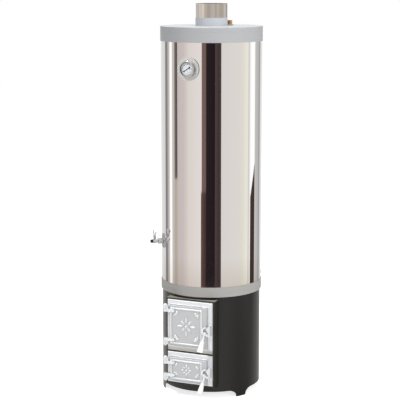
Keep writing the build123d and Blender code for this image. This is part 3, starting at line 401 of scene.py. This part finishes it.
# Grate: a round iron casting that lies loose on the hearth plate. Its sand-cast skin is
# rough and sooty, with only a little metal left to see.
grate_iron, _ = painted("grate_iron", "2A2726", 0.8, metallic=0.4, grain=0.6, grain_mm=2.86)
dress(grate_iron, "grate")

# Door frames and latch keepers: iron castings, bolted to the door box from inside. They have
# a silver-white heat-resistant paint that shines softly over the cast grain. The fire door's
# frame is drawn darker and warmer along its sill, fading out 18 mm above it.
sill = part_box("fire_door_frame")[0][2]
frame_paint, _ = painted("frame_paint", "E6E9EC", 0.3, metallic=0.3, grain=0.25, grain_mm=2.38)
dress(frame_paint, "ash_door_frame", "fire_latch_keeper", "ash_latch_keeper")
sill_dark_top = sill + 0.018
sill_dark_full = sill + 0.008
sill_paint, sill_shader = painted("sill_paint", "E6E9EC", 0.3, metallic=0.3, grain=0.25, grain_mm=2.38)
# Darker and warmer towards the bottom of the fire door's frame.
cover(sill_paint, sill_shader, between(sill_paint, "Z", sill_dark_top, sill_dark_full), "B9B6AE")
dress(sill_paint, "fire_door_frame")

# Door leaves: iron castings, hung on two pins each. Their silver paint is drawn darker in the
# sunk panel, as painted shade, and brighter on the raised work, as a painted highlight. Their
# backs, which close the fire in, have burnt brown-black in patches about 33 mm wide.
leaf_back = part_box("fire_door_leaf")[1][1]
panel_face = leaf_back - 0.0053
raised_face = leaf_back - 0.0061
leaf_paint, leaf_shader = painted("leaf_paint", "C9CBCD", 0.3, metallic=0.35, grain=0.25, grain_mm=2.38)
# Painted highlight and painted shade: the raised work lighter than the sunk panel.
cover(leaf_paint, leaf_shader, between(leaf_paint, "Y", panel_face, raised_face), "F0F2F4")
tree = leaf_paint.node_tree
where = add(tree, "ShaderNodeTexCoord", {})
burnt = add(tree, "ShaderNodeTexNoise", {"Scale": 1000.0 / 33.3, "Detail": 3.0}, {
    "Vector": where.outputs["Object"],
})
patches = add(tree, "ShaderNodeMix", {
    "data_type": "RGBA", 6: linear("3A3632"), 7: linear("6B655E"),
}, {0: burnt.outputs[0]})
behind = between(leaf_paint, "Y", leaf_back - 0.00015, leaf_back - 0.00005)
cover(leaf_paint, leaf_shader, behind, patches.outputs[2])
dress(leaf_paint, "fire_door_leaf", "ash_door_leaf")

# Latch levers: small iron castings that turn on shoulder pins. Their silver paint is drawn a
# brighter white than the doors', as a painted highlight.
# Painted highlight: the levers' paint is whiter than the doors'.
lever_paint, _ = painted("lever_paint", "F2F3F4", 0.3, metallic=0.1, grain=0.1)
dress(lever_paint, "fire_latch_lever", "ash_latch_lever")

# Grips: smooth cones of cream plastic, moulded and pushed onto the levers' stems. They have
# a plain, soft shine.
grip_plastic, _ = painted("grip_plastic", "FBF9F2", 0.3)
dress(grip_plastic, "fire_latch_grip", "ash_latch_grip")

# Pins, washers and bolts: turned and pressed steel, zinc-plated. The plating is pale and
# a little dull.
zinc, _ = painted("zinc", "E6E7E8", 0.3, metallic=0.15, grain=0.1)
dress(
    zinc, "fire_hinge_pins", "ash_hinge_pins", "fire_latch_washer", "ash_latch_washer",
    "fire_latch_pivot", "ash_latch_pivot", "frame_bolts",
)

# Tank shell: polished stainless sheet, rolled and welded along one seam at the rear. It is
# nearly a mirror, with slow waves from the rolls, 111 mm wide and 1430 mm long. Over its foot
# its colour is darkened, as painted shade that dims the reflections there.
tank_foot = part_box("tank_shell")[0][2]
foot_shade_top = tank_foot + 0.13
foot_shade_full = tank_foot + 0.02
polished, polished_shader = painted("polished_steel", "F4F3F2", 0.03, metallic=1.0)
tree = polished.node_tree
where = add(tree, "ShaderNodeTexCoord", {})
rolled = add(tree, "ShaderNodeMapping", {"Scale": (1000.0 / 111.0, 1000.0 / 111.0, 1000.0 / 1430.0)}, {
    "Vector": where.outputs["Object"],
})
waves = add(tree, "ShaderNodeTexNoise", {"Scale": 1.0, "Detail": 0.0}, {"Vector": rolled.outputs[0]})
bump = add(tree, "ShaderNodeBump", {"Strength": 0.25, "Distance": 0.001}, {"Height": waves.outputs[0]})
tree.links.new(bump.outputs[0], polished_shader.inputs["Normal"])
# Painted shade: a darker, warmer colour over the tank's foot.
cover(polished, polished_shader, between(polished, "Z", foot_shade_top, foot_shade_full), "E4DFDA")
dress(polished, "tank_shell")

# Ends of the tank: pressed steel caps and bands, welded to the shell and sprayed with a
# half-matt grey. The lower ones have yellowed a little over the fire.
grey_paint, _ = painted("grey_paint", "C2C4C6", 0.5, grain=0.08, grain_mm=1.11)
dress(grey_paint, "top_band", "top_cap", "outlet_socket")
warm_paint, _ = painted("warm_paint", "B3B1AE", 0.5, grain=0.08, grain_mm=1.11)
dress(warm_paint, "tank_bottom", "bottom_band")

# Collar: a short steel ring, welded to the cap round the flue. It has the same grey paint,
# a shade paler and cooler where the flue's heat has faded it.
faded_paint, _ = painted("faded_paint", "D6DAE0", 0.5, grain=0.08, grain_mm=1.11)
dress(faded_paint, "flue_collar")

# Flue: drawn steel tube, welded into both ends of the tank. It is dull outside, with faint
# streaks 17 mm wide down its length, and sooty inside.
flue_bore = 0.0572
flue_steel, flue_shader = painted("flue_steel", "D8D1CA", 0.42, metallic=0.6, grain=0.1)
soot_inside(flue_steel, flue_shader, flue_bore)
tree = flue_steel.node_tree
where = add(tree, "ShaderNodeTexCoord", {})
drawn = add(tree, "ShaderNodeMapping", {"Scale": (1000.0 / 16.7, 1000.0 / 16.7, 1000.0 / 1670.0)}, {
    "Vector": where.outputs["Object"],
})
streaks = add(tree, "ShaderNodeTexNoise", {"Scale": 1.0, "Detail": 2.0}, {"Vector": drawn.outputs[0]})
streaked = add(tree, "ShaderNodeMapRange", {
    "From Min": 0.4, "From Max": 0.62, "To Min": 0.0, "To Max": 0.75,
}, {"Value": streaks.outputs[0]})
cover(flue_steel, flue_shader, streaked, "A39687")
dress(flue_steel, "flue_tube")

# Outlet nipple and the thermometer's stem: turned brass, screwed into their bosses. The
# cut metal is warm yellow, with a satin shine.
brass, _ = painted("brass", "C9A766", 0.3, metallic=1.0)
dress(brass, "outlet_nipple", "thermometer_stem")

# Fittings that are welded to the tank: bare turned steel and one cut patch. They are plain
# grey with a faint machined grain.
fitting_steel, _ = painted("fitting_steel", "B4B4B3", 0.45, metallic=0.5, grain=0.15)
dress(fitting_steel, "inlet_socket", "wall_stud", "tap_patch", "thermometer_bush")

# Plate behind the thermometer: stainless sheet, cut round and brushed satin, so it shows no
# clear reflection against the polished tank.
satin_steel, _ = painted("satin_steel", "D4D5D4", 0.4, metallic=0.5)
dress(satin_steel, "thermometer_plate")

# Bezel of the thermometer, and the tap's nuts, ball, stem and handle: brass and steel parts
# that are turned and plated with bright chrome, almost a mirror.
chrome, _ = painted("chrome", "DADADA", 0.08, metallic=1.0)
dress(
    chrome, "thermometer_bezel", "tap_nipple", "tap_nut", "tap_ball", "tap_stem",
    "tap_gland", "tap_handle", "tap_handle_nut",
)

# Body of the tap: forged brass with the same chrome, screwed onto its nipple. The thread at
# its open end is painted dark grey as painted shade in its grooves, which run together at this scale.
thread_start = 0.2335
tap_chrome, tap_shader = painted("tap_chrome", "DADADA", 0.1, metallic=1.0)
# Painted shade: dark grey over the thread at the tap's open end.
thread = between(tap_chrome, "reach", thread_start, thread_start + 0.0002)
cover(tap_chrome, tap_shader, thread, "3A3A3B")
dress(tap_chrome, "tap_body")

# Seats of the tap's ball: two white sealing rings, turned from a dense, waxy plastic and
# pressed into the body.
seal_plastic, _ = painted("seal_plastic", "ECECE8", 0.5)
dress(seal_plastic, "tap_seats")

# Case of the thermometer: a drawn steel cup, coloured dark grey inside and out as painted
# shade, which shows as the dark ring round the dial where its inner wall lies in shade.
# Painted shade: the case is dark grey so that its inner wall reads as shaded.
case_painted_shade, _ = painted("case_painted_shade", "47494B", 0.3)
dress(case_painted_shade, "thermometer_case")

# Dial and pointer: a thin aluminium disc with cool white matt enamel, and a stamped
# needle with black paint that turns on a spindle in front of it.
enamel, _ = painted("enamel", "F8FCFF", 0.5)
dress(enamel, "thermometer_dial")
ink, _ = painted("ink", "15161A", 0.5)
dress(ink, "thermometer_pointer")

# Glass over the dial: a flat disc of clear glass, held by the bezel. It is almost unseen,
# but for faint reflections.
glass, glass_shader = painted("dial_glass", "1C2022", 0.03)
glass_shader.inputs["Alpha"].default_value = 0.05
dress(glass, "thermometer_glass")


# Scale of the dial: ticks for 0 to 120 degrees, printed in one thin layer of ink over 270
# degrees of the dial. The ink is drawn grey, because the real strokes are finer than the
# picture shows.
def facing(angle, reach, height):
    """The plane that faces outward at an angle round the column, at a distance from its axis."""
    turn = math.radians(angle)
    return Matrix((
        (math.cos(turn), 0.0, math.sin(turn), reach * math.sin(turn)),
        (math.sin(turn), 0.0, -math.cos(turn), -reach * math.cos(turn)),
        (0.0, 1.0, 0.0, height),
        (0.0, 0.0, 0.0, 1.0),
    ))


def middle(node):
    """The height of the middle of a CAD node."""
    low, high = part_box(node)
    return (low[2] + high[2]) / 2


def attach(piece):
    """Says that a piece belongs to the standing column."""
    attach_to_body(piece, "column")


def scale_angle(degree):
    """Where a temperature lies on the dial, counted from the right and against the clock."""
    return 225.0 - 270.0 * degree / 120.0


dial_angle = -3.5
dial_reach = 0.19661
dial_height = middle("thermometer_dial")
dial = facing(dial_angle, dial_reach, dial_height)
ink_layer = 0.00004
scale_radius = 0.0237
print_ink, _ = painted("print_ink", "86909A", 0.5)
bm = bmesh.new()
for degree in range(0, 122, 2):
    length, width = (0.0026, 0.0005) if degree % 10 == 0 else (0.0013, 0.00025)
    around = Matrix.Rotation(math.radians(scale_angle(degree)), 4, "Z")
    outward = Matrix.Translation((scale_radius - length / 2, 0.0, ink_layer / 2))
    size = Matrix.Diagonal((length, width, ink_layer, 1.0))
    bmesh.ops.create_cube(bm, size=1.0, matrix=dial @ around @ outward @ size)
attach(place_mesh("dial_ticks", bm, print_ink))

# Numbers of the dial, every 20 degrees inside the ticks, and the unit below the pointer's
# spindle. They are printed in the same ink, in a plain upright letter.
capital_share = 0.7
number_radius = 0.0175
number_height = 0.0036
unit_radius = 0.0095
unit_height = 0.0044
labels = [
    (str(degree), scale_angle(degree), number_radius, number_height)
    for degree in range(0, 140, 20)
]
labels.append(("°C", 270.0, unit_radius, unit_height))
bm = bmesh.new()
for words, angle, reach, height in labels:
    curve = bpy.data.curves.new("label", "FONT")
    curve.body = words
    curve.size = height / capital_share
    curve.align_x = "CENTER"
    curve.align_y = "CENTER"
    curve.extrude = ink_layer / 2
    source = bpy.data.objects.new("label", curve)
    flat = bpy.data.meshes.new_from_object(source)
    turn = math.radians(angle)
    spot = Matrix.Translation((reach * math.cos(turn), reach * math.sin(turn), ink_layer / 2))
    flat.transform(dial @ spot)
    bm.from_mesh(flat)
    bpy.data.objects.remove(source)
    bpy.data.curves.remove(curve)
    bpy.data.meshes.remove(flat)
attach(place_mesh("dial_numbers", bm, print_ink))

# Painted shade between the dial's glass and the bezel: a ring, square in section, painted matt
# black where the bezel's inner step lies in shade.
shade_ring_inner = 0.0243
shade_ring_outer = 0.0272
shade_ring_back = 0.2021
shade_ring_front = 0.2029
# Painted shade: a matt black ring round the dial, not a real part.
shade_ring_black, _ = painted("shade_ring_black", "1B1C1D", 0.6)
bm = bmesh.new()
section = [
    bm.verts.new((across, 0.0, reach))
    for across, reach in (
        (shade_ring_inner, shade_ring_back), (shade_ring_outer, shade_ring_back), (shade_ring_outer, shade_ring_front), (shade_ring_inner, shade_ring_front),
    )
]
edges = [bm.edges.new((a, b)) for a, b in zip(section, section[1:] + section[:1])]
bmesh.ops.spin(
    bm, geom=section + edges, axis=(0, 0, 1), cent=(0, 0, 0), angle=math.tau,
    steps=64, use_merge=True, use_duplicate=False,
)
bmesh.ops.transform(bm, matrix=facing(dial_angle, 0.0, dial_height), verts=bm.verts)
bmesh.ops.recalc_face_normals(bm, faces=bm.faces)
attach(place_mesh("dial_shade_ring", bm, shade_ring_black))


# Welds round the outlet, the inlet and the stud: small hollow fillets of weld metal. The
# outlet's is painted with the cap, and the other two are left bare like their fittings.
def bead(name, place, radius, size, made):
    """A ring of weld round a plane's normal. Its section is a hollow fillet, sunk a little
    into the fitting and into the sheet, so that no gap shows."""
    into_fitting = 0.0005
    into_sheet = 0.0012
    arc_steps = 4
    bm = bmesh.new()
    section = [bm.verts.new((radius - into_fitting, 0.0, -into_sheet))]
    for step in range(arc_steps + 1):
        turn = math.radians(90.0 * step / arc_steps)
        across = radius + size * (1.0 - math.sin(turn))
        section.append(bm.verts.new((across, 0.0, size * (1.0 - math.cos(turn)))))
    section.append(bm.verts.new((radius - into_fitting, 0.0, size)))
    edges = [bm.edges.new((a, b)) for a, b in zip(section, section[1:] + section[:1])]
    bmesh.ops.spin(
        bm, geom=section + edges, axis=(0, 0, 1), cent=(0, 0, 0), angle=math.tau,
        steps=48, use_merge=True, use_duplicate=False,
    )
    bmesh.ops.transform(bm, matrix=place, verts=bm.verts)
    bmesh.ops.recalc_face_normals(bm, faces=bm.faces)
    attach(place_mesh(name, bm, made))


tank_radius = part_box("tank_shell")[1][0]
cap_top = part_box("top_cap")[1][2]
outlet_spot = facing(angle=150.0, reach=0.085, height=cap_top).translation
bead(
    "outlet_weld", Matrix.Translation(outlet_spot), radius=0.01345, size=0.0025,
    made=grey_paint,
)
bead(
    "inlet_weld", facing(angle=135.0, reach=tank_radius + 0.0012, height=middle("inlet_socket")),
    radius=0.013, size=0.0025, made=fitting_steel,
)
bead(
    "stud_weld", facing(angle=140.0, reach=tank_radius + 0.0008, height=middle("wall_stud")),
    radius=0.008, size=0.0015, made=fitting_steel,
)

# Welds that hold the door box to the firebox: round beads down both sides and one over its
# top, which follows the shell. They are painted black with the rest.
box_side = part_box("door_portal")[1][0]
box_rear = -0.1593
box_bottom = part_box("portal_sill")[0][2]
box_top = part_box("portal_roof")[1][2]
side_bead = 0.0022
top_bead = 0.002
end_gap = 0.002
bm = bmesh.new()
for side in (-box_side, box_side):
    bmesh.ops.create_cone(
        bm, cap_ends=True, segments=12, radius1=side_bead, radius2=side_bead,
        depth=box_top - box_bottom - 2 * end_gap,
        matrix=Matrix.Translation((side, box_rear, (box_bottom + box_top) / 2)),
    )
half = math.asin(box_side / firebox_radius)
section = []
for step in range(8):
    turn = math.tau * step / 8
    reach = firebox_radius + top_bead * math.cos(turn)
    section.append(bm.verts.new((
        -reach * math.sin(half),
        -reach * math.cos(half),
        box_top + top_bead * math.sin(turn),
    )))
start = bm.faces.new(section)
bmesh.ops.spin(
    bm, geom=[start], axis=(0, 0, 1), cent=(0, 0, 0), angle=2.0 * half, steps=24, use_duplicate=False,
)
bmesh.ops.recalc_face_normals(bm, faces=bm.faces)
attach(place_mesh("box_weld", bm, black_paint))
